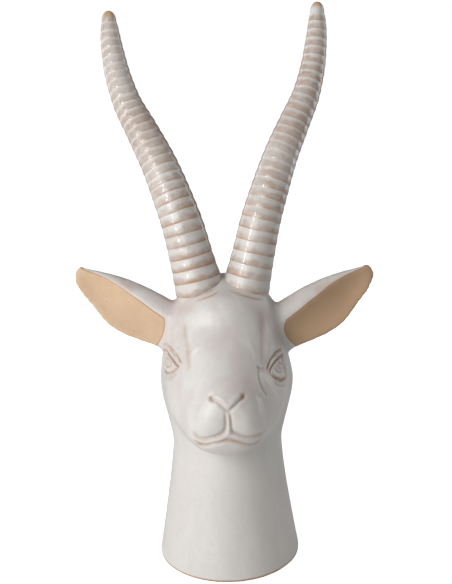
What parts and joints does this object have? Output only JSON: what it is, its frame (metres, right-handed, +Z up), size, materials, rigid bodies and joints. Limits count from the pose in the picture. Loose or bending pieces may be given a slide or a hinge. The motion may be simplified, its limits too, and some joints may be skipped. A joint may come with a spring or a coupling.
{
  "type": "ceramic antelope head sculpture",
  "caption": "Glazed stoneware antelope head on a flared hollow neck, with long ringed horns and bare-clay ears; a decorative figurine that stands on its foot.",
  "frame": {"origin": "on the floor under the middle of the piece", "axes": "+Z up along the neck and horns; the face looks along -Y and +X is to the viewer's right"},
  "size_m": [0.2306, 0.1972, 0.4162],
  "materials": {
    "white_glaze": "glossy"
  },
  "bodies": {
    "root": {"antelope_head": "white_glaze"}
  },
  "joints": []
}
